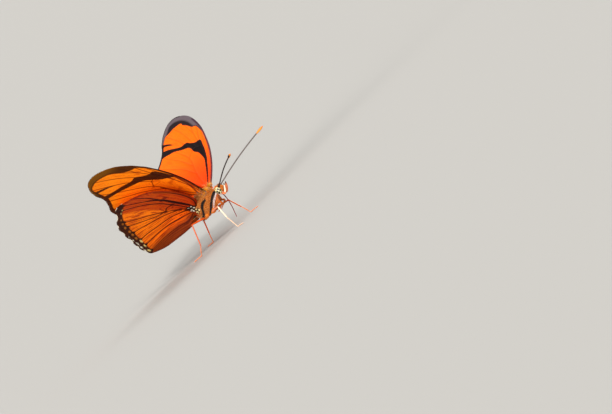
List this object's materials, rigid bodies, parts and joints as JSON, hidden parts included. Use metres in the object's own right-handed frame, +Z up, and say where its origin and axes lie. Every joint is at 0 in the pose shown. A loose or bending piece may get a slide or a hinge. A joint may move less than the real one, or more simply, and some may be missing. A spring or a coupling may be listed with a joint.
{
  "type": "julia butterfly",
  "caption": "Life-size still model of a long-winged orange butterfly standing with its wings half raised, antennae spread and proboscis let down.",
  "frame": {"origin": "centre of the whole model's box seen from above, at the level of the floor that its feet stand on", "axes": "+X forward towards the head, +Y to the butterfly's left, across the spread wings, +Z up"},
  "size_m": [0.0548, 0.0654, 0.0443],
  "materials": {
    "head_hair": "short soft hair",
    "palp_scales": "matte scales",
    "eye": "smooth facets",
    "antenna": "satin",
    "proboscis": "satin",
    "thorax_hair": "soft hair",
    "abdomen_scales": "matte scales",
    "forewing_scales": "matte scales",
    "hindwing_scales": "matte scales",
    "leg": "satin"
  },
  "bodies": {
    "root": {"head": "head_hair", "eye_left": "eye", "eye_right": "eye", "palp_left": "palp_scales", "palp_right": "palp_scales", "antenna_left": "antenna", "antenna_right": "antenna", "proboscis": "proboscis", "thorax": "thorax_hair", "abdomen": "abdomen_scales", "forewing_left": "forewing_scales", "forewing_right": "forewing_scales", "hindwing_left": "hindwing_scales", "hindwing_right": "hindwing_scales", "foreleg_left": "leg", "foreleg_right": "leg", "midleg_left": "leg", "midleg_right": "leg", "hindleg_left": "leg", "hindleg_right": "leg"}
  },
  "joints": []
}
